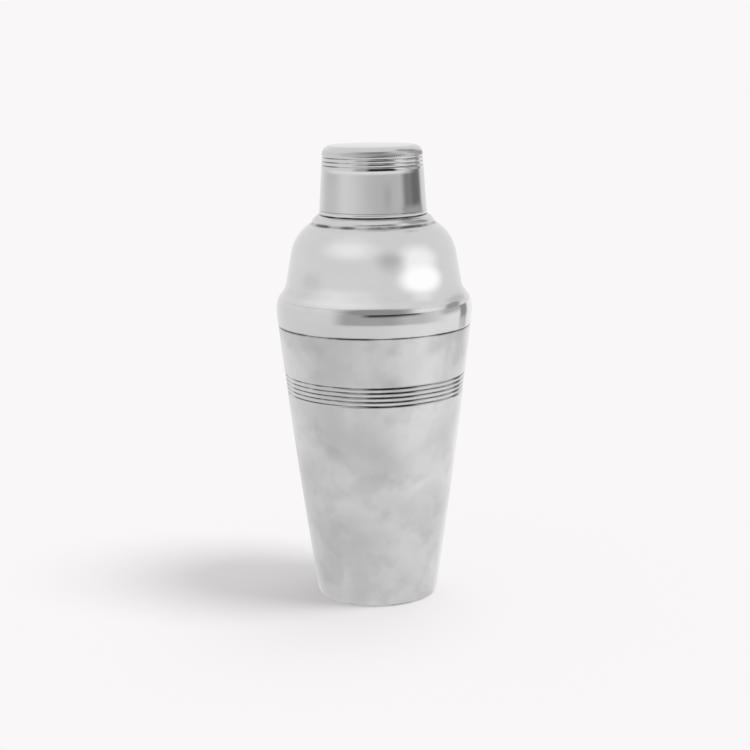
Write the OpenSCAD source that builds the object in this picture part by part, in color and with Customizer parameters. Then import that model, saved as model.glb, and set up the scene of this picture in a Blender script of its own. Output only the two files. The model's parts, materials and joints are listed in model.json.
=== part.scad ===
// Three-piece cocktail shaker in silver-plated brass: a tapered tumbler, a strainer top
// that plugs into its mouth, and a small cap over the pouring neck.
// Every piece is turned about the Z axis. The origin is the centre of the foot.

/* [Tumbler] */
// Height of the tumbler's rim, where the strainer top rests
rim_z = 137.5; // [130:0.5:146]
// Outer radius at the foot, if the wall ran straight down to the table
foot_r = 29.85; // [28:0.05:32]
// Outer radius at the rim
rim_r = 47.35; // [45:0.05:48]
// How far the wall bows out, half way up
wall_bow = 0.65; // [0:0.05:1.5]
// Radius that turns the wall in under the foot
foot_bend = 2.2; // [1.5:0.1:3.5]
// Width of the turned-in foot that stands on the table
foot_lip = 4; // [3:0.5:6]
// Height of the pushed-up middle of the base
base_rise = 1.6; // [0.5:0.1:3]

/* [Rolled beads] */
// Number of round beads around the tumbler
bead_count = 4; // [2:1:6]
// Distance from one bead to the next
bead_pitch = 2.2; // [1.6:0.1:3]
// Depth of the creases between the beads
bead_depth = 0.5; // [0.2:0.05:0.7]
// Height of the lowest crease above the table
bead_z = 104.5; // [90:0.5:108]

/* [Strainer top] */
// Outer radius of the skirt band at the seam
skirt_r = 47.5; // [47.4:0.05:48.5]
// Height of the skirt band
skirt_h = 13.5; // [12:0.1:14]
// Depth of the sleeve inside the tumbler's mouth
sleeve_depth = 14; // [8:1:20]
// Gap between the sleeve and the tumbler
sleeve_gap = 0.12; // [0.08:0.01:0.2]
// Height of the domed shoulder above the seam
dome_h = 49.7; // [49:0.1:52]
// Outer radius of the ledge ring at the neck
collar_r = 30.2; // [29.5:0.1:31]
// Height of the ledge ring
collar_h = 4.1; // [3.5:0.1:5]

/* [Neck and strainer] */
// Length of the neck above the ledge ring
neck_h = 21; // [16:0.5:23]
// Gap between the neck and the cap
neck_gap = 0.15; // [0.1:0.01:0.3]
// Depth of the strainer below the neck's lip
strainer_depth = 11; // [6:0.5:14]
// Diameter of one strainer hole
hole_d = 2.6; // [1.5:0.1:3]
// Rings of holes around the middle one
hole_rings = 3; // [2:1:4]

/* [Cap] */
// Outer radius of the cap at its rim
cap_foot_r = 26.3; // [25.8:0.1:27]
// Outer radius of the cap under its milled edge
cap_top_r = 24.45; // [24:0.05:25]
// Height of the cap
cap_h = 33.2; // [31:0.2:36]
// Number of creases rolled around the cap
cap_creases = 3; // [2:1:4]
// Distance from one crease to the next
cap_pitch = 1.9; // [1.5:0.1:2.2]
// Radius of the milled edge
milled_bend = 4.5; // [3.5:0.1:5]
// How much the flat top is crowned
crown_rise = 0.5; // [0.1:0.1:1]

/* [Metal] */
// Thickness of the spun sheet
sheet = 0.8; // [0.6:0.05:1]
// Thickness of the cap's wall
cap_sheet = 1.15; // [1:0.05:1.3]

/* [Hidden] */
$fn = 180;

// Turn of one step along a rounded corner, and the height of one step up a curved wall
arc_step = 5;
wall_step = 8;
// Steps across half a bead
bead_steps = 4;
// Solder film between nested pieces that are not cut to one plane
film = 0.02;

skirt_z = rim_z + skirt_h;                // top of the skirt band
dome_z = rim_z + dome_h;                  // the ledge ring rests here
ledge_z = dome_z + collar_h;              // the cap rests here
top_z = ledge_z + cap_h;                  // centre of the cap's top, without its crown
lip_z = ledge_z + neck_h;
plate_z = lip_z - strainer_depth;
rim_bead_h = 2.2;                         // height of the bead around the cap's rim
milled_z = top_z - milled_bend;           // the milled ring stands on the wall here
cap_crease = 0.4;                         // depth of the cap's creases
crown_r = cap_top_r - milled_bend;        // radius of the cap's flat top
band_z = bead_z - bead_pitch / 2;         // lower and upper edge of the bead band
band_top = band_z + (bead_count + 1) * bead_pitch;

// ---- plane geometry -------------------------------------------------------------

function unit(v) = v / norm(v);
function spin(v, angle) =
    [v.x * cos(angle) - v.y * sin(angle), v.x * sin(angle) + v.y * cos(angle)];
function reversed(points) = [for (i = [len(points) - 1:-1:0]) points[i]];

// The arc of radius r that rounds the corner b between a and c
function corner_arc(a, b, c, r) =
    let (
        u = unit(a - b),
        v = unit(c - b),
        half = acos(u * v) / 2,
        centre = b + unit(u + v) * r / sin(half),
        start = b + u * r / tan(half) - centre,
        sweep = 180 - 2 * half,
        turn = u.x * v.y - u.y * v.x > 0 ? -1 : 1,
        steps = max(2, ceil(sweep / arc_step))
    )
    [for (i = [0:steps]) centre + spin(start, turn * sweep * i / steps)];

// An outline through [radius, height, corner radius] points, with its corners rounded
function rounded(path) = [
    for (i = [0:len(path) - 1])
        let (p = [path[i][0], path[i][1]])
        each (i == 0 || i == len(path) - 1 || path[i][2] == 0)
            ? [p]
            : corner_arc(
                [path[i - 1][0], path[i - 1][1]], p,
                [path[i + 1][0], path[i + 1][1]], path[i][2])
];

// The largest corner radius that b can take before its arc runs past c
function widest_bend(a, b, c) =
    0.999 * norm(c - b) * tan(acos(unit(a - b) * unit(c - b)) / 2);

// The same line moved sideways by t, to its left as it runs. Its two ends move along
// first and last, so that they can be cut level or upright.
function moved(points, t, first, last) = [
    for (i = [0:len(points) - 1])
        i == 0 ? points[i] + first * t :
        i == len(points) - 1 ? points[i] + last * t :
        points[i] + t * unit(
            spin(unit(points[i + 1] - points[i]), 90) +
            spin(unit(points[i] - points[i - 1]), 90))
];

module turned(outline) {
    rotate_extrude() polygon(outline);
}

// ---- shared profiles ------------------------------------------------------------

// How deep the surface lies below a plain wall, s crease pitches from the band's edge
function crease(s, depth) = depth * (1 - abs(cos(180 * s)));

// Outer radius of the tumbler's wall, without and with its beads
function plain_r(z) =
    let (u = z / rim_z)
    foot_r + (rim_r - foot_r) * u + 4 * wall_bow * u * (1 - u);
function tumbler_r(z) =
    plain_r(z) - (z < band_z || z > band_top ? 0 : crease((z - band_z) / bead_pitch, bead_depth));

// Heights up the tumbler's wall, close together only where the beads are
wall_start = foot_bend * 1.6;
function levels(from, to, step) =
    let (n = max(1, round((to - from) / step)))
    [for (i = [0:n - 1]) from + (to - from) * i / n];
wall_levels = concat(
    levels(wall_start, band_z, wall_step),
    levels(band_z, band_top, bead_pitch / (2 * bead_steps)),
    levels(band_top, rim_z, wall_step),
    [rim_z]);

// Outer radius of the cap's wall, without and with its creases
function cap_plain_r(z) =
    cap_foot_r + (cap_top_r - cap_foot_r) * (z - ledge_z) / (milled_z - ledge_z);
cap_band_z = milled_z - cap_creases * cap_pitch;
function cap_r(z) =
    cap_plain_r(z) - (z < cap_band_z ? 0 : crease((z - cap_band_z) / cap_pitch, cap_crease));
function cap_inner_r(z) = cap_plain_r(z) - cap_sheet;

// Outer radius of the neck, which is straight up to the ledge and tapers inside the cap
function neck_r(z) = cap_inner_r(max(z, ledge_z)) - neck_gap;

// The skirt band swells by skirt_belly at skirt_belly_h above the seam, and is narrower
// at its top. The shoulder sits on that top, with a straight flange down inside the band.
skirt_belly = 0.75;
skirt_belly_h = 9.7;
skirt_bend = 17;
skirt_top_r = skirt_r - 0.6;
flange_r = skirt_r - 1.2;
flange_z = rim_z + 1;
grip_r = flange_r - sheet;

// Outer line of the shoulder, from the band up to the neck: a hollow waist, and one
// long bend round its knee that ends at the ledge ring
waist_inset = 4;
waist_h = 18;
waist_bend = 9;
knee_inset = 8.8;
knee_drop = 4.9;
brim = [skirt_top_r, skirt_z];
waist = [skirt_r - waist_inset, rim_z + waist_h];
knee = [skirt_r - knee_inset, dome_z - knee_drop];
dome_outline = rounded([
    [brim.x, brim.y, 0],
    [waist.x, waist.y, waist_bend],
    [knee.x, knee.y, widest_bend(waist, knee, [collar_r, dome_z])],
    [collar_r, dome_z, 0],
    [neck_r(dome_z), dome_z, 0]]);

// Where its lining, one sheet further in, meets the inside of the flange
flare = unit(waist - brim);
lining_start = brim + spin(flare, 90) * sheet;
lining_foot = lining_start + flare * (grip_r - lining_start.x) / flare.x;
dome_lining = moved(dome_outline, sheet, (lining_foot - brim) / sheet, [0, -1]);

// ---- tumbler --------------------------------------------------------------------

module tumbler_wall() {
    outside = concat(
        rounded([
            [foot_r - foot_lip - foot_bend, 0, 0],
            [plain_r(0) - 0.1, 0, foot_bend],
            [tumbler_r(wall_start), wall_start, 0]]),
        [for (i = [1:len(wall_levels) - 1]) [tumbler_r(wall_levels[i]), wall_levels[i]]]);
    inside = moved(outside, sheet, [0, 1], [-1, 0]);
    color("silver") turned(concat(outside, reversed(inside)));
}

module tumbler_base() {
    edge_r = foot_r - foot_bend - 0.2;
    step_r = foot_r - foot_bend - foot_lip;
    step_run = 2.5;
    step_bend = 2;
    underside = rounded([
        [0, sheet + base_rise, 0],
        [step_r - step_run, sheet + base_rise, step_bend],
        [step_r, sheet, step_bend],
        [edge_r, sheet, 0]]);
    topside = [for (p = underside) p + [0, sheet]];
    color("gainsboro") turned(concat(underside, reversed(topside)));
}

// ---- strainer top ---------------------------------------------------------------

// A tapered plug in the tumbler's mouth, soldered up inside the shoulder's flange
module inner_sleeve() {
    foot_z = rim_z - sleeve_depth;
    grip_z = rim_z + 8;
    lead_in = 0.4;
    function plug_r(z) = tumbler_r(z) - sheet - sleeve_gap;
    color("silver") turned([
        [plug_r(foot_z) - lead_in, foot_z],
        [plug_r(foot_z + 1), foot_z + 1],
        [plug_r(rim_z - 0.5), rim_z - 0.5],
        [flange_r, rim_z],
        [flange_r, flange_z],
        [grip_r, flange_z],
        [grip_r, grip_z],
        [grip_r - sheet, grip_z],
        [grip_r - sheet, flange_z - sheet],
        [flange_r - sheet, rim_z - sheet],
        [plug_r(foot_z + 1) - sheet, foot_z + 1],
        [plug_r(foot_z) - lead_in - sheet, foot_z]]);
}

// The barrel-shaped ring that rests on the tumbler's rim
module skirt_band() {
    crisp = 0.15;
    color("silver") turned(rounded([
        [flange_r, rim_z, 0],
        [skirt_r, rim_z, 0],
        [skirt_r + skirt_belly, rim_z + skirt_belly_h, skirt_bend],
        [skirt_top_r, skirt_z - crisp, 0],
        [skirt_top_r - crisp, skirt_z, 0],
        [flange_r, skirt_z, 0]]));
}

module shoulder_dome() {
    color("silver") turned(concat(
        [[flange_r, flange_z], [flange_r, skirt_z]],
        dome_outline,
        reversed(dome_lining),
        [[grip_r, flange_z]]));
}

// The ring that the cap sits on: a level ledge inside a rounded slope
module neck_collar() {
    inner_r = neck_r(dome_z) + film;
    brow_inset = 0.85;
    brow_drop = 1;
    brow = [collar_r - brow_inset, ledge_z - brow_drop];
    ledge = [cap_foot_r, ledge_z];
    color("gainsboro") turned(rounded([
        [inner_r, dome_z, 0],
        [collar_r, dome_z, 0],
        [brow.x, brow.y, widest_bend([collar_r, dome_z], brow, ledge)],
        [ledge.x, ledge.y, 0],
        [inner_r, ledge_z, 0]]));
}

module pouring_neck() {
    foot_z = dome_z - 2;
    lip_r = 0.8;
    outside = [
        [neck_r(ledge_z), foot_z],
        [neck_r(ledge_z), ledge_z],
        [neck_r(lip_z - lip_r), lip_z - lip_r]];
    inside = moved(outside, sheet, [-1, 0], [-1, 0]);
    color("silver") {
        turned(concat(outside, reversed(inside)));
        rolled_lip(lip_r);
    }
}

module rolled_lip(lip_r) {
    translate([0, 0, lip_z - lip_r])
        rotate_extrude()
            translate([neck_r(lip_z - lip_r) - lip_r, 0])
                circle(lip_r, $fn = 32);
}

// A shallow pressed cup, let into the neck, with rings of holes through its floor
module strainer_plate() {
    flange_z = plate_z + 3;
    floor_r = neck_r(plate_z) - sheet - film;
    flange_r = neck_r(flange_z) - sheet - film;
    ring_step = flange_r / (hole_rings + 1.25);
    color("gainsboro") difference() {
        turned(rounded([
            [0, plate_z, 0],
            [floor_r, plate_z, 1.2],
            [flange_r, flange_z, 0],
            [flange_r - sheet, flange_z, 0],
            [floor_r - sheet, plate_z + sheet, 0.5],
            [0, plate_z + sheet, 0]]));
        for (ring = [0:hole_rings])
            for (i = [0:max(0, 6 * ring - 1)])
                rotate([0, 0, 60 * i / max(1, ring)])
                    translate([ring * ring_step, 0, plate_z - 1])
                        cylinder(h = sheet + 2, d = hole_d, $fn = 32);
    }
}

// ---- cap ------------------------------------------------------------------------

// The thinned end of the cap's wall, and the wire that is brazed around it
bead_seat_r = cap_inner_r(ledge_z) + 0.4;
shelf_z = ledge_z + rim_bead_h;

// A half-round wire around the mouth, flush with the wall above it
module cap_rim_bead() {
    color("silver") turned(rounded([
        [bead_seat_r, ledge_z, 0],
        [cap_foot_r, ledge_z, 0.7],
        [cap_foot_r, shelf_z, 0.6],
        [bead_seat_r, shelf_z, 0]]));
}

module cap_wall() {
    edge = 0.2;
    band = levels(cap_band_z, milled_z, cap_pitch / (2 * bead_steps));
    color("silver") turned(concat(
        [[cap_inner_r(ledge_z), ledge_z], [bead_seat_r, ledge_z], [bead_seat_r, shelf_z],
         [cap_r(shelf_z) - edge, shelf_z], [cap_r(shelf_z + edge), shelf_z + edge]],
        [for (z = band) [cap_r(z), z]],
        [[cap_r(milled_z), milled_z], [cap_inner_r(milled_z), milled_z]]));
}

// The rounded edge that is milled for grip
module cap_milled_ring() {
    inner_r = crown_r - 1.6;
    lining_r = cap_inner_r(milled_z);
    color("gainsboro") turned(concat(
        rounded([
            [lining_r, milled_z, 0],
            [cap_top_r, milled_z, 0],
            [cap_top_r, top_z, milled_bend * 0.98],
            [crown_r, top_z, 0]]),
        rounded([
            [crown_r, top_z - sheet, 0],
            [inner_r, top_z - sheet, 0],
            [inner_r, top_z - 2 * sheet, 0],
            [lining_r, top_z - 2 * sheet, 1.6],
            [lining_r, milled_z, 0]])));
}

module cap_crown() {
    edge_r = crown_r - film;
    dish_r = (edge_r * edge_r + crown_rise * crown_rise) / (2 * crown_rise);
    color("silver") turned(concat(
        [[0, top_z - sheet], [edge_r, top_z - sheet]],
        [for (i = [0:8]) let (r = edge_r * (1 - i / 8))
            [r, top_z + crown_rise - dish_r + sqrt(dish_r * dish_r - r * r)]]));
}

tumbler_wall();
tumbler_base();
inner_sleeve();
skirt_band();
shoulder_dome();
neck_collar();
pouring_neck();
strainer_plate();
cap_rim_bead();
cap_wall();
cap_milled_ring();
cap_crown();
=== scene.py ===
"""Three-piece silver-plated cocktail shaker: visual model and studio.

Each turned piece is spun again, finely, from the section of its CAD node. The silver
reflects round screens that nothing else sees, and two soft lamps light the floor."""
import json
import math

import bpy
from mathutils import Matrix, Vector
from mathutils.bvhtree import BVHTree


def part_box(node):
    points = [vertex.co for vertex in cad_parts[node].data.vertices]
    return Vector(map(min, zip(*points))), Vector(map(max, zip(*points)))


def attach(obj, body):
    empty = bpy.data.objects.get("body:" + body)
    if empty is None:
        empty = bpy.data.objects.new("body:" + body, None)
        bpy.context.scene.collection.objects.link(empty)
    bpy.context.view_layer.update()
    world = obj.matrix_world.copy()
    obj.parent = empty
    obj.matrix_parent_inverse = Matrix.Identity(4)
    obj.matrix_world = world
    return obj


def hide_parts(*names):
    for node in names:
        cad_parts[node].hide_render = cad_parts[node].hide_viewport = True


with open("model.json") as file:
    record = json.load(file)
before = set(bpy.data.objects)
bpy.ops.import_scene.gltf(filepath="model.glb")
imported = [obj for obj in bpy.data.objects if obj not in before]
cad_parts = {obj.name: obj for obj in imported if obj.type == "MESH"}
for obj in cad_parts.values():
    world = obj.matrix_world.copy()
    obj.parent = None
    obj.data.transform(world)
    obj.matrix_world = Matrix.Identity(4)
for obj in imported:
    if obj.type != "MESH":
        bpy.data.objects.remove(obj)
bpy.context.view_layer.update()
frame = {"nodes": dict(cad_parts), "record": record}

MM = 0.001
# lengths that differ by less than this count as the same
SAME = 1e-6

# ---- camera: a little above the shaker's top, looking slightly down ----------------

CAMERA_DISTANCE = 0.780
CAMERA_HEIGHT = 0.2725
CAMERA_PITCH = 11.71
CAMERA_ROLL = -0.73
LENS = 76.8


def make_camera():
    data = bpy.data.cameras.new("camera")
    data.lens = LENS
    camera = bpy.data.objects.new("camera", data)
    bpy.context.scene.collection.objects.link(camera)
    camera.matrix_world = (
        Matrix.Translation((0, -CAMERA_DISTANCE, CAMERA_HEIGHT))
        @ Matrix.Rotation(math.radians(90 - CAMERA_PITCH), 4, "X")
        @ Matrix.Rotation(math.radians(CAMERA_ROLL), 4, "Z")
    )
    bpy.context.scene.camera = camera


# ---- outlines: the section of a turned CAD node, as points (radius, height) --------


def seam_corners(mesh):
    """The corners on the seam of a turned mesh, which lies in the half-plane of +X, each
    with the corners that an edge joins it to."""
    corners = {}
    for vertex in mesh.vertices:
        x, y, z = vertex.co
        if abs(y) < SAME and x > -SAME:
            corners[vertex.index] = (round(max(x, 0), 6), round(z, 6))
    joined = {}
    for edge in mesh.edges:
        a, b = (corners.get(i) for i in edge.vertices)
        if a and b and a != b:
            joined.setdefault(a, set()).add(b)
            joined.setdefault(b, set()).add(a)
    return joined


def chains_of(joined):
    """The corners in chains, each followed from a loose end where there is one."""
    chains = []
    left = set(joined)
    while left:
        ends = [point for point in left if len(joined[point] & left) < 2]
        point = min(ends or left)
        chain = [point]
        left.discard(point)
        while joined[point] & left:
            point = min(joined[point] & left)
            chain.append(point)
            left.discard(point)
        chains.append(chain)
    return chains


def one_line(chains):
    """The chains end to end. Flat faces leave gaps in the seam, and across a gap the line
    goes on with the chain that has the nearest end."""
    chains = sorted(chains, key=lambda chain: min(point[0] for point in chain))
    line = chains.pop(0)

    def gap(chain):
        return min(math.dist(line[-1], chain[0]), math.dist(line[-1], chain[-1]))

    while chains:
        nearest = min(chains, key=gap)
        chains.remove(nearest)
        if math.dist(line[-1], nearest[-1]) < math.dist(line[-1], nearest[0]):
            nearest.reverse()
        line += nearest
    return line


def cut_on_axis(points, mesh):
    """A disc's section, cut open to run from the axis below to the axis above, and True;
    or any other section as it is, and False."""
    tree = BVHTree.FromPolygons([v.co for v in mesh.vertices], [p.vertices for p in mesh.polygons])
    beside = (0.05 * MM, 0.03 * MM)
    under = tree.ray_cast((*beside, -1), (0, 0, 1))[0]
    over = tree.ray_cast((*beside, 1), (0, 0, -1))[0]
    if under is None:
        return points, False
    heights_first = 1000

    def miss(i):
        """How badly the step to point i fits the one that crosses over on the axis."""
        a, b = points[i - 1], points[i]
        return heights_first * (abs(a.y - over.z) + abs(b.y - under.z)) + a.x + b.x

    start = min(range(len(points)), key=miss)
    points = points[start:] + points[:start]
    # a flat face has no corner on the axis
    if points[0].x > SAME:
        points.insert(0, Vector((0, under.z)))
    if points[-1].x > SAME:
        points.append(Vector((0, over.z)))
    return points, True


def section(node):
    """Corners of a turned CAD node, anticlockwise round its section, and whether that is
    cut open on the axis."""
    mesh = frame["nodes"][node].data
    points = [Vector(corner) for corner in one_line(chains_of(seam_corners(mesh)))]
    area = sum(a.x * b.y - b.x * a.y for a, b in zip(points, points[1:] + points[:1]))
    if area < 0:
        points.reverse()
    return cut_on_axis(points, mesh)


SHARP = math.radians(20)
CORNER_STEPS = 4
# the most of each side that a corner's rounding may take
CORNER_SHARE = 0.45


def eased(points, is_open, radius):
    """The outline with every sharp corner rounded over, as polishing leaves it."""
    out = []
    count = len(points)
    for i, p in enumerate(points):
        back = points[i - 1] - p
        ahead = points[(i + 1) % count] - p
        is_end = is_open and i in (0, count - 1)
        if is_end or math.pi - back.angle(ahead) < SHARP:
            out.append(p)
            continue
        cut = min(radius, CORNER_SHARE * back.length, CORNER_SHARE * ahead.length)
        start = p + back.normalized() * cut
        end = p + ahead.normalized() * cut
        for k in range(CORNER_STEPS + 1):
            t = k / CORNER_STEPS
            out.append((1 - t) ** 2 * start + 2 * t * (1 - t) * p + t * t * end)
    return out


def flowing(points, is_open, step):
    """Points at most step apart, on a smooth curve through the outline's corners."""
    count = len(points)

    def tangent(i):
        # a disc is level where it crosses the axis
        if is_open and i == 0:
            return Vector((1, 0))
        if is_open and i == count - 1:
            return Vector((-1, 0))
        # the longer side rules, so long straight stretches stay straight
        return (points[(i + 1) % count] - points[i - 1]).normalized()

    out = []
    for i in range(count - 1 if is_open else count):
        p, q = points[i], points[(i + 1) % count]
        length = (q - p).length
        m, n = tangent(i) * length, tangent((i + 1) % count) * length
        steps = max(1, math.ceil(length / step))
        for k in range(steps):
            t = k / steps
            out.append(
                (2 * t ** 3 - 3 * t ** 2 + 1) * p + (t ** 3 - 2 * t ** 2 + t) * m
                + (3 * t ** 2 - 2 * t ** 3) * q + (t ** 3 - t ** 2) * n)
    if is_open:
        out.append(points[-1])
    return out


# ---- hollows and seams: where tarnish and painted shade gather ---------------------


def edge_of(node):
    """Outer radius of a node, and the heights of its bottom and top."""
    low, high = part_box(node)
    return high.x, low.z, high.z


def make_shaded_seams():
    """Where two pieces meet on the outside, and how far painted shade spreads from there: the
    shade in the gap between two pieces, and the contact shadow on the floor at the foot.
    """
    rim_r = edge_of("tumbler_wall")[0]
    band_z = edge_of("skirt_band")[1]
    cap_r = edge_of("cap_rim_bead")[0]
    collar_r, collar_foot, collar_top = edge_of("neck_collar")
    turned_in_sheet = 0.9 * MM
    foot_r = edge_of("tumbler_base")[0] + turned_in_sheet
    return [
        (Vector((rim_r, band_z)), 0.65 * MM),
        (Vector((cap_r, collar_top)), 0.80 * MM),
        (Vector((collar_r, collar_foot)), 1.30 * MM),
        (Vector((foot_r, 0)), 2.20 * MM),
    ]


SHADED_SEAMS = make_shaded_seams()
# how strongly painted shade darkens the silver near a seam
SEAM_SHADE = 1.5
HOLLOW_REACH = 0.45 * MM
HOLLOW_DEPTH = 0.20 * MM


def hollows(points, is_open):
    """How much each point of an outline is darkened, 0 to 1: tarnish and painted shade in its
    hollows, and painted shade near the seams.
    """
    count = len(points)

    def reached(i, way):
        """The point that is HOLLOW_REACH along the outline from point i."""
        j, travelled = i, 0
        while travelled < HOLLOW_REACH and abs(j - i) < count // 2:
            k = j + way
            if is_open and not 0 <= k < count:
                break
            travelled += (points[k % count] - points[j % count]).length
            j = k
        return points[j % count]

    darkening = []
    for i, p in enumerate(points):
        back, ahead = reached(i, -1), reached(i, 1)
        along = ahead - back
        outward = Vector((along.y, -along.x)).normalized()
        # a hollow darkens with tarnish and painted shade, and a seam with painted shade
        depth = ((back + ahead) / 2 - p).dot(outward)
        nearness = max(1 - (p - place).length / size for place, size in SHADED_SEAMS)
        both = max(0, depth / HOLLOW_DEPTH) + SEAM_SHADE * max(0, nearness)
        darkening.append(min(1, both))
    return darkening


# ---- turning -----------------------------------------------------------------------


def lathe(name, points, is_open, segments, offset=None, is_silver=True):
    """A mesh turned about Z, with the tarnish and painted shade of each point stored as a point
    attribute, which the silver's colour reads. offset(point, angle, i) gives a point's new radius
    and height, and any tarnish and painted shade of its own."""
    darkening = hollows(points, is_open) if is_silver else [0] * len(points)
    shade = []
    verts = []
    rings = []
    for i, p in enumerate(points):
        if is_open and p.x < SAME:
            rings.append([len(verts)] * segments)
            verts.append((0, 0, p.y))
            shade.append(0)
            continue
        rings.append(range(len(verts), len(verts) + segments))
        for k in range(segments):
            angle = 2 * math.pi * k / segments
            radius, z, extra = offset(p, angle, i) if offset else (p.x, p.y, 0)
            verts.append((radius * math.cos(angle), radius * math.sin(angle), z))
            shade.append(max(darkening[i], extra))
    if not is_open:
        rings.append(rings[0])
    faces = []
    for low, high in zip(rings, rings[1:]):
        for k in range(segments):
            n = (k + 1) % segments
            corners = [low[k], low[n], high[n], high[k]]
            faces.append([v for j, v in enumerate(corners) if v != corners[j - 1]])
    mesh = bpy.data.meshes.new(name)
    mesh.from_pydata(verts, [], faces)
    # each point's tarnish and painted shade
    mesh.attributes.new("hollow", "FLOAT", "POINT").data.foreach_set("value", shade)
    for polygon in mesh.polygons:
        polygon.use_smooth = True
    piece = bpy.data.objects.new(name, mesh)
    bpy.context.scene.collection.objects.link(piece)
    return piece


# ---- materials ---------------------------------------------------------------------


def new_material(name):
    material = bpy.data.materials.new(name)
    material.use_nodes = True
    tree = material.node_tree
    tree.nodes.clear()
    return material, tree


def add(tree, kind, inputs=None, **settings):
    """A node with its settings, and its inputs set to values or linked to sockets."""
    node = tree.nodes.new(kind)
    for key, value in settings.items():
        setattr(node, key, value)
    for key, value in (inputs or {}).items():
        if isinstance(value, bpy.types.NodeSocket):
            tree.links.new(value, node.inputs[key])
        else:
            node.inputs[key].default_value = value
    return node


def maths(tree, operation, *values):
    inputs = dict(enumerate(values))
    return add(tree, "ShaderNodeMath", inputs, operation=operation).outputs[0]


def spread(tree, value, low, high, to_low, to_high):
    """value, from low..high, laid smoothly over to_low..to_high."""
    return add(
        tree, "ShaderNodeMapRange",
        {"Value": value, "From Min": low, "From Max": high, "To Min": to_low, "To Max": to_high},
        interpolation_type="SMOOTHSTEP").outputs["Result"]


def noise(tree, place, scale, detail, roughness=0.5, distortion=0.0):
    return add(tree, "ShaderNodeTexNoise", {
        "Vector": place, "Scale": scale, "Detail": detail, "Roughness": roughness,
        "Distortion": distortion}).outputs["Fac"]


def bumps(tree, height, distance):
    """The normal of a surface with bumps up to distance high."""
    return add(tree, "ShaderNodeBump", {
        "Height": height, "Distance": distance, "Strength": 1.0}).outputs[0]


# how many of each there are to a metre
CLOUDS = 1 / 0.030
SMUDGES = 1.9 * CLOUDS
GRAINS = 1500.0
PATCHES = 90.0
WAVES = 55.0
LATHE_RINGS = 2600.0
# the share of the light that a point with full tarnish and painted shade still returns
DARKEST = 0.15


def tarnished_and_shaded(tree, place, clouds, smudges, tone, cloud):
    """The colour: tone, varied by clouds, smudges and grain, and darker in the hollows with
    tarnish and painted shade, and at the seams with painted shade.
    """
    broad = spread(tree, clouds, 0.3, 0.7, 1 - 0.8 * cloud, 1 + 0.8 * cloud)
    small = spread(tree, smudges, 0.48, 0.68, 1.0, 1 - 0.9 * cloud)
    grain = spread(tree, noise(tree, place, GRAINS, 2.0), 0.2, 0.8, 0.995, 1.005)
    # tarnish and painted shade in the hollows, painted shade at the seams
    hollow = add(tree, "ShaderNodeAttribute", attribute_name="hollow").outputs["Fac"]
    patchy = spread(tree, noise(tree, place, PATCHES, 2.0), 0.3, 0.65, 0.35, 1.0)
    lightness_kept = spread(tree, maths(tree, "MULTIPLY", hollow, patchy), 0.0, 1.0, 1.0, DARKEST)
    shade = maths(tree, "MULTIPLY", maths(tree, "MULTIPLY", broad, small), grain)
    shade = maths(tree, "MULTIPLY", shade, lightness_kept)
    return add(tree, "ShaderNodeVectorMath", {
        0: (tone, tone, tone), "Scale": shade}, operation="SCALE").outputs[0]


def lathe_rings(tree, place):
    """Fine rings of uneven height, left by the lathe."""
    z = add(tree, "ShaderNodeSeparateXYZ", {"Vector": place}).outputs["Z"]
    return add(tree, "ShaderNodeTexNoise", {
        "W": maths(tree, "MULTIPLY", z, LATHE_RINGS), "Scale": 1.0, "Detail": 2.0},
        noise_dimensions="1D").outputs["Fac"]


def silver(name, tone, roughness, cloud, haze, ripple=0.0, rings=0.0):
    """Silver plate. tone is how much light it returns, cloud how far tarnish varies it,
    and haze how much duller it is under the clouds. Its surface may have hand-worked
    waves or rings left by the lathe, as many metres high as ripple or rings says."""
    material, tree = new_material(name)
    place = add(tree, "ShaderNodeTexCoord").outputs["Object"]
    clouds = noise(tree, place, CLOUDS, 3.0, 0.45, 0.2)
    smudges = noise(tree, place, SMUDGES, 5.0, 0.48, 0.1)
    dullness = maths(
        tree, "ADD", spread(tree, clouds, 0.25, 0.65, roughness + haze, roughness),
        spread(tree, smudges, 0.48, 0.68, 0.0, 0.4 * haze))
    shader = add(tree, "ShaderNodeBsdfPrincipled", {
        "Base Color": tarnished_and_shaded(tree, place, clouds, smudges, tone, cloud),
        "Metallic": 1.0, "Roughness": dullness})
    if ripple:
        waves = noise(tree, place, WAVES, 1.0)
        tree.links.new(bumps(tree, waves, ripple), shader.inputs["Normal"])
    if rings:
        turned = lathe_rings(tree, place)
        tree.links.new(bumps(tree, turned, rings), shader.inputs["Normal"])
    add(tree, "ShaderNodeOutputMaterial", {"Surface": shader.outputs[0]})
    return material


silvers = {
    "tumbler_silver": silver("tumbler_silver", 0.59, 0.12, 0.14, 0.08, ripple=0.00006),
    "band_silver": silver("band_silver", 0.65, 0.07, 0.02, 0.04),
    "top_silver": silver("top_silver", 0.65, 0.13, 0.02, 0.05),
    "cap_silver": silver("cap_silver", 0.65, 0.07, 0.02, 0.05, ripple=0.00002),
    "milled_silver": silver("milled_silver", 0.64, 0.12, 0.03, 0.05),
    "inner_silver": silver("inner_silver", 0.60, 0.24, 0.05, 0.08, rings=0.000004),
}

# ---- pieces ------------------------------------------------------------------------

# how many segments a piece has round it, and how far apart the points of its outline are
ROUND = 288
STEP = 0.8 * MM

# how far corners are eased: more on the two pieces that meet at the shaker's main seam
EASE = 0.14 * MM
JOINT_EASE = 0.45 * MM
JOINT_NODES = ("tumbler_wall", "skirt_band")

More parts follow.
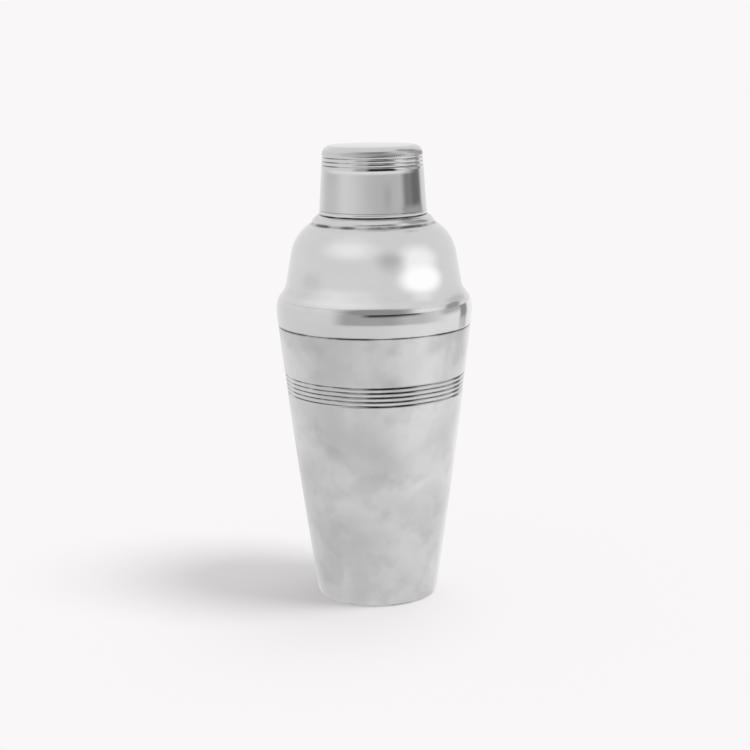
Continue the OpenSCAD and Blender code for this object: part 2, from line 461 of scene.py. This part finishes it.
PIECE_NAMES = {
    "tumbler_wall": "tumbler_spun_wall",
    "tumbler_base": "tumbler_pressed_base",
    "inner_sleeve": "top_inner_sleeve",
    "skirt_band": "top_skirt_band",
    "shoulder_dome": "top_spun_shoulder",
    "neck_collar": "top_ledge_ring",
    "pouring_neck": "top_pouring_neck",
    "cap_rim_bead": "cap_rim_wire",
    "cap_wall": "cap_spun_wall",
    "cap_crown": "cap_crown_disc",
}

body_of = {n: b for b, ns in frame["record"]["behaviour"]["bodies"].items() for n in ns}
slot_of = {s["node"]: s["material_slot"] for s in frame["record"]["subparts"]}


def settle(piece, node):
    """Puts a piece in its CAD node's place, with the same body and the same slot."""
    piece.data.materials.append(silvers[slot_of[node]])
    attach(piece, body_of[node])
    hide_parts(node)


def spun_piece(node, name):
    ease = JOINT_EASE if node in JOINT_NODES else EASE
    points, is_open = section(node)
    line = flowing(eased(points, is_open, ease), is_open, STEP)
    settle(lathe(name, line, is_open, ROUND), node)


TEETH = 138
TOOTH_SAMPLES = 8
TOOTH_DEPTH = 0.25 * MM
TOOTH_SLANT = 0.9
# how much darker the valleys between the teeth are painted: tarnish and painted shade
TOOTH_SHADE_AND_TARNISH = 0.4
MILLED_STEP = 0.35 * MM
# shares of the ring's height: where the teeth begin and end, and how slowly they fade
TEETH_FROM = 0.03
TEETH_TO = 0.58
FADE_BELOW = 0.06
FADE_ABOVE = 0.20


def ramp(value, length):
    """0 to 1 as value goes from 0 to length."""
    return min(1, max(0, value / length))


def milled_piece():
    """The cap's rounded edge, with slanting teeth cut all round its lower half."""
    node = "cap_milled_ring"
    points, is_open = section(node)
    line = flowing(eased(points, is_open, EASE), is_open, MILLED_STEP)
    low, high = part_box(node)
    bend_middle = Vector((0.8 * high.x, low.z))
    inside_reach = 4.0 * MM
    run = [0.0]
    for a, b in zip(line, line[1:]):
        run.append(run[-1] + (b - a).length)

    def cut(p, angle, i):
        # the inside of the ring stays plain
        if (p - bend_middle).length <= inside_reach:
            return p.x, p.y, 0
        up = (p.y - low.z) / (high.z - low.z)
        fade = ramp(up - TEETH_FROM, FADE_BELOW) * ramp(TEETH_TO - up, FADE_ABOVE)
        turn = angle - TOOTH_SLANT * run[i] / high.x
        valley = (1 - abs(math.cos(TEETH * turn / 2))) * fade
        # the valleys between the teeth are painted darker, as tarnish and painted shade
        return p.x - TOOTH_DEPTH * valley, p.y, TOOTH_SHADE_AND_TARNISH * valley ** 1.5

    settle(lathe("cap_milled_edge", line, is_open, TEETH * TOOTH_SAMPLES, cut), node)


def strainer_piece():
    """The strainer keeps its CAD mesh, which has all its holes."""
    plate = frame["nodes"]["strainer_plate"].data
    plate.materials.clear()
    plate.materials.append(silvers["inner_silver"])


# ---- studio ------------------------------------------------------------------------

BACKGROUND = (0.947, 0.930, 0.939)
FLOOR_REACH = 12.0
FLOOR_GLOW = 0.473
FLOOR_TONE = 0.12


def make_world():
    world = bpy.data.worlds.new("studio")
    world.use_nodes = True
    world.node_tree.nodes["Background"].inputs["Color"].default_value = (*BACKGROUND, 1)
    bpy.context.scene.world = world
    bpy.context.scene.view_settings.view_transform = "Standard"


def make_floor():
    """Pale paper that glows a little, so the shadows on it stay light."""
    reach = FLOOR_REACH
    mesh = bpy.data.meshes.new("floor")
    mesh.from_pydata(
        [(-reach, -reach, 0), (reach, -reach, 0), (reach, reach, 0), (-reach, reach, 0)],
        [], [(0, 1, 2, 3)])
    floor = bpy.data.objects.new("floor", mesh)
    bpy.context.scene.collection.objects.link(floor)
    material, tree = new_material("paper")
    matt = add(tree, "ShaderNodeBsdfDiffuse", {
        "Color": (*(FLOOR_TONE * c for c in BACKGROUND), 1)}).outputs[0]
    glow = add(tree, "ShaderNodeEmission", {
        "Color": (*BACKGROUND, 1), "Strength": FLOOR_GLOW}).outputs[0]
    both = add(tree, "ShaderNodeAddShader", {0: matt, 1: glow}).outputs[0]
    add(tree, "ShaderNodeOutputMaterial", {"Surface": both})
    material.cycles.emission_sampling = "NONE"
    mesh.materials.append(material)
    floor.visible_glossy = False


def towards(azimuth, elevation):
    """Unit vector from the shaker. Azimuth 0 is the camera's side, 90 is to its right."""
    a, e = math.radians(azimuth), math.radians(elevation)
    return Vector((math.sin(a) * math.cos(e), -math.cos(a) * math.cos(e), math.sin(e)))


def lamp(name, azimuth, elevation, softness, strength):
    """A lamp that the silver doesn't reflect. It throws the shaker's shadow on the floor."""
    data = bpy.data.lights.new(name, "SUN")
    data.energy = strength
    data.angle = math.radians(softness)
    thing = bpy.data.objects.new(name, data)
    bpy.context.scene.collection.objects.link(thing)
    thing.rotation_euler = (-towards(azimuth, elevation)).to_track_quat("-Z", "Y").to_euler()
    thing.visible_glossy = False


SCREEN_SEGMENTS = 96
SCREEN_WHITE = (0.94, 0.94, 0.94, 1)


def share(tree, place, middle, size):
    """How far place is from the middle of a patch, as a share of half its size."""
    away = maths(tree, "SUBTRACT", place, middle)
    return maths(tree, "ABSOLUTE", maths(tree, "DIVIDE", away, size / 2))


def inside(tree, away, softness):
    """1 inside a patch's edge and 0 outside, with softness as the width between."""
    return spread(tree, away, 1 - softness, 1 + softness, 1.0, 0.0)


def patch_mask(tree, across, along, softness):
    """An ellipse where there is one softness, or an oblong where there are two."""
    if len(softness) == 2:
        sides, ends = softness
        return maths(tree, "MULTIPLY", inside(tree, across, sides), inside(tree, along, ends))
    squares = [maths(tree, "MULTIPLY", away, away) for away in (across, along)]
    return inside(tree, maths(tree, "SQRT", maths(tree, "ADD", *squares)), softness[0])


def painted(tree, level, patches):
    """The brightness of a screen: level, with soft patches painted over it in turn. Each
    patch is the azimuth and height of its middle, its width in degrees, its height, its
    brightness, and how soft it is: all round, or at its sides and at its ends."""
    place = add(tree, "ShaderNodeTexCoord").outputs["Object"]
    x, y, z = add(tree, "ShaderNodeSeparateXYZ", {"Vector": place}).outputs
    azimuth = maths(tree, "ARCTAN2", x, maths(tree, "MULTIPLY", y, -1.0))
    value = maths(tree, "ADD", level, 0.0)
    for middle, up, wide, tall, bright, *softness in patches:
        across = share(tree, azimuth, math.radians(middle), math.radians(wide))
        along = share(tree, z, up * MM, tall * MM)
        mask = patch_mask(tree, across, along, softness)
        change = maths(tree, "SUBTRACT", bright, value)
        value = maths(tree, "ADD", value, maths(tree, "MULTIPLY", change, mask))
    return value


def screen(name, outline, level, patches):
    """A round screen that only the silver's reflections see. Its outline and its patches
    are in millimetres."""
    points = [Vector(p) * MM for p in outline]
    wall = lathe(name, points, True, SCREEN_SEGMENTS, is_silver=False)
    material, tree = new_material(name)
    light = add(tree, "ShaderNodeEmission", {
        "Color": SCREEN_WHITE, "Strength": painted(tree, level, patches)}).outputs[0]
    add(tree, "ShaderNodeOutputMaterial", {"Surface": light})
    material.cycles.emission_sampling = "NONE"
    wall.data.materials.append(material)
    wall.visible_camera = False
    wall.visible_diffuse = False
    wall.visible_transmission = False
    wall.visible_shadow = False


def make_room():
    """The room round the shaker."""
    screen("room", ((400, -600), (400, 1000)), 0.97, (
        (-10, -130, 190, 330, 0.93, 0.40, 0.40),
        (105, 20, 150, 420, 1.13, 0.45, 0.30),
        # the dark room behind the camera, and a window beside it
        (40, 410, 64, 720, 0.74, 0.75, 0.05),
        (-6, 410, 70, 720, 0.54, 0.32, 0.05),
        (20, 600, 60, 400, 0.28, 0.30, 0.30),
        (21, 345, 64, 250, 0.03, 0.25, 0.25),
        (68, 440, 26, 300, 1.20, 0.40, 0.40),
        # dark flags on the right and at the back
        (104, 260, 46, 240, 0.64, 0.40, 0.30),
        (105, 620, 44, 500, 0.52, 0.30, 0.30),
        (124, 300, 18, 500, 0.42, 0.30, 0.15),
        (168, 60, 16, 400, 0.85, 0.50, 0.50),
        (-166, 60, 20, 400, 0.85, 0.50, 0.50),
    ))


def make_cap_ring():
    """A close ring of light for the cap's wall."""
    screen("cap_ring", ((28, 192.6), (26.6, 213.6)), 0.97, (
        (-57, 203, 30, 60, 0.80, 0.70, 0.20),
        (16, 203, 60, 60, 0.70, 0.80, 0.20),
        (17, 201, 9, 12, 0.60, 0.90, 0.90),
        (54, 203, 34, 60, 0.31, 0.30, 0.20),
        (58, 205, 14, 30, 0.22, 0.50, 0.30),
        (54, 194, 36, 5, 0.50, 0.40, 0.80),
        (130, 203, 50, 60, 0.60, 0.60, 0.20),
        (-140, 203, 36, 60, 0.45, 0.50, 0.20),
        (-8, 213.4, 110, 2.4, 1.10, 0.30, 0.60),
    ))


def make_shoulder_ring():
    """A close ring of light for the shoulder and the brim under it."""
    outline = (
        (50, 149.8), (47.3, 152), (46.6, 155), (46.6, 172), (44.5, 181), (39.5, 188.5),
        (33, 191.5))
    screen("shoulder_ring", outline, 1.0, (
        (-24, 156, 44, 7, 1.22, 0.80),
        (-20, 182.5, 38, 12, 1.26, 0.80),
        (-50, 163, 18, 8, 0.88, 0.90),
        (36, 174.5, 33, 18, 1.40, 0.55),
        (37, 164.5, 35, 12.5, 1.58, 0.40),
        (13, 175, 18, 10, 0.72, 0.90),
        (64, 154, 24, 4, 0.78, 0.60),
        (1, 150.6, 44, 4, 0.42, 0.40),
        (34, 150.6, 18, 4, 1.15, 0.60),
        (56, 150.6, 16, 4, 0.48, 0.40),
        (140, 168, 50, 40, 0.70, 0.70),
        (-135, 168, 30, 34, 0.62, 0.70),
    ))


# ---- the whole scene ---------------------------------------------------------------

make_camera()
for node, name in PIECE_NAMES.items():
    spun_piece(node, name)
milled_piece()
strainer_piece()

make_world()
make_floor()
lamp("lamp_right", 76, 62, 22, 9.3)
lamp("lamp_above", 150, 72, 32, 2.8)
make_room()
make_cap_ring()
make_shoulder_ring()
